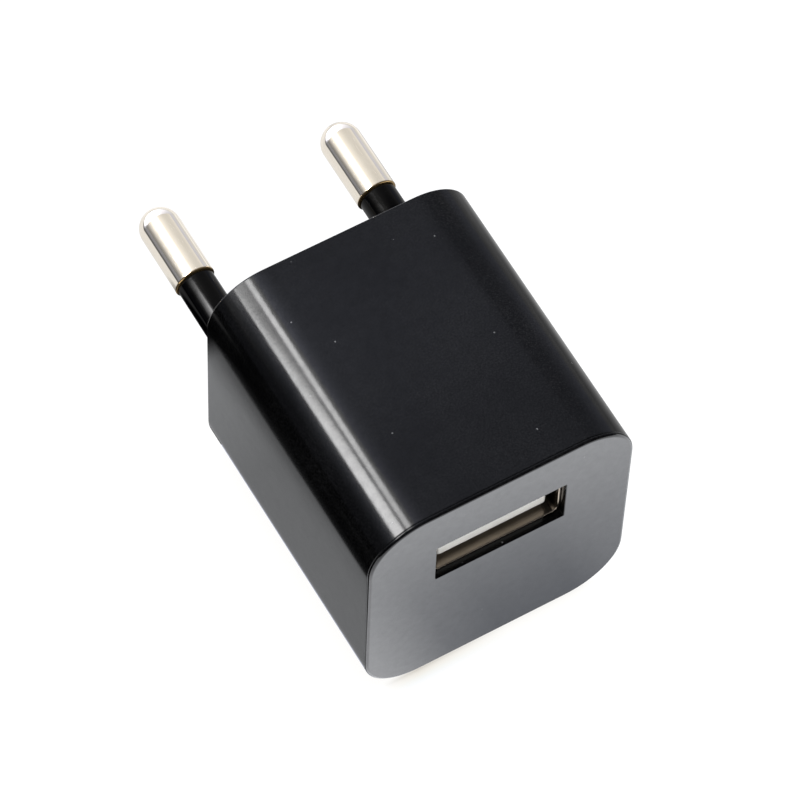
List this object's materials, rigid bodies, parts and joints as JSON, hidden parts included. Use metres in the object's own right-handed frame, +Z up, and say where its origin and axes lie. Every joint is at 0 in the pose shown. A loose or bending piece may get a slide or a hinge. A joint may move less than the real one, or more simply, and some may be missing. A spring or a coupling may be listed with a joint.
{
  "type": "usb wall charger",
  "caption": "Cube-shaped black mains charger with a USB type A port in front and round Europlug pins behind.",
  "frame": {"origin": "centre of the rear face, midway between the two pins, where the charger meets the wall socket", "axes": "+X across the two pins, +Y out of the rear face along the pins, +Z up, towards the side that the port lies nearer to"},
  "size_m": [0.0266, 0.047, 0.0274],
  "materials": {
    "casing": "moulded ABS, fine satin gloss with hairline scuffs",
    "pin_metal": "nickel plating over brass, polished",
    "pin_sleeve": "moulded, glossy black",
    "contact_brass": "stamped sheet",
    "board": "glass fibre board with solder mask",
    "port_steel": "nickel-plated sheet steel",
    "port_insulator": "moulded white nylon",
    "ferrite": "sintered ferrite",
    "bobbin": "moulded phenolic",
    "copper_wire": "enamelled copper",
    "tape": "polyester tape",
    "lead_metal": "tinned wire",
    "capacitor_sleeve": "heat-shrunk sleeve",
    "ceramic_coat": "dipped coating",
    "resistor_coat": "flameproof coating",
    "chip_epoxy": "moulded epoxy",
    "chip_ceramic": "fired ceramic"
  },
  "bodies": {
    "charger": {"main_shell": "casing", "front_cap": "casing", "pin_left": "pin_metal", "pin_right": "pin_metal", "pin_sleeve_left": "pin_sleeve", "pin_sleeve_right": "pin_sleeve", "ac_contact_left": "contact_brass", "ac_contact_right": "contact_brass", "circuit_board": "board", "usb_shell": "port_steel", "usb_insulator": "port_insulator", "transformer_core_upper": "ferrite", "transformer_core_lower": "ferrite", "transformer_bobbin": "bobbin", "primary_winding": "copper_wire", "secondary_winding": "copper_wire", "transformer_tape": "tape", "input_capacitor": "capacitor_sleeve", "output_capacitor": "capacitor_sleeve", "y_capacitor": "ceramic_coat", "fusible_resistor": "resistor_coat", "switching_transistor": "chip_epoxy", "output_diode": "chip_epoxy", "bridge_rectifier": "chip_epoxy", "controller_ic": "chip_epoxy", "snubber_diode": "chip_epoxy", "chip_capacitor_1": "chip_ceramic", "chip_capacitor_2": "chip_ceramic", "usb_contact_tail_1": "contact_brass", "chip_resistor_1": "chip_epoxy", "usb_contact_tail_2": "contact_brass", "chip_resistor_2": "chip_epoxy", "usb_contact_tail_3": "contact_brass", "chip_resistor_3": "chip_epoxy", "usb_contact_tail_4": "contact_brass", "chip_resistor_4": "chip_epoxy", "transformer_terminal_1": "lead_metal", "transformer_terminal_2": "lead_metal", "transformer_terminal_3": "lead_metal", "transformer_terminal_4": "lead_metal", "transformer_terminal_5": "lead_metal"},
    "contact_arm_1": {"usb_contact_arm_1": "contact_brass"},
    "contact_arm_2": {"usb_contact_arm_2": "contact_brass"},
    "contact_arm_3": {"usb_contact_arm_3": "contact_brass"},
    "contact_arm_4": {"usb_contact_arm_4": "contact_brass"}
  },
  "joints": [
    {"name": "contact_1_flex", "type": "hinge", "parent": "charger", "child": "contact_arm_1", "pos_m": [-0.0035, -0.01865, 0.0047], "axis": [1, 0, 0], "range_deg": [0, 3.2], "stiffness_Nm_per_rad": 0.1},
    {"name": "contact_2_flex", "type": "hinge", "parent": "charger", "child": "contact_arm_2", "pos_m": [-0.001, -0.01865, 0.0047], "axis": [1, 0, 0], "range_deg": [0, 3.2], "stiffness_Nm_per_rad": 0.1},
    {"name": "contact_3_flex", "type": "hinge", "parent": "charger", "child": "contact_arm_3", "pos_m": [0.001, -0.01865, 0.0047], "axis": [1, 0, 0], "range_deg": [0, 3.2], "stiffness_Nm_per_rad": 0.1},
    {"name": "contact_4_flex", "type": "hinge", "parent": "charger", "child": "contact_arm_4", "pos_m": [0.0035, -0.01865, 0.0047], "axis": [1, 0, 0], "range_deg": [0, 3.2], "stiffness_Nm_per_rad": 0.1}
  ]
}
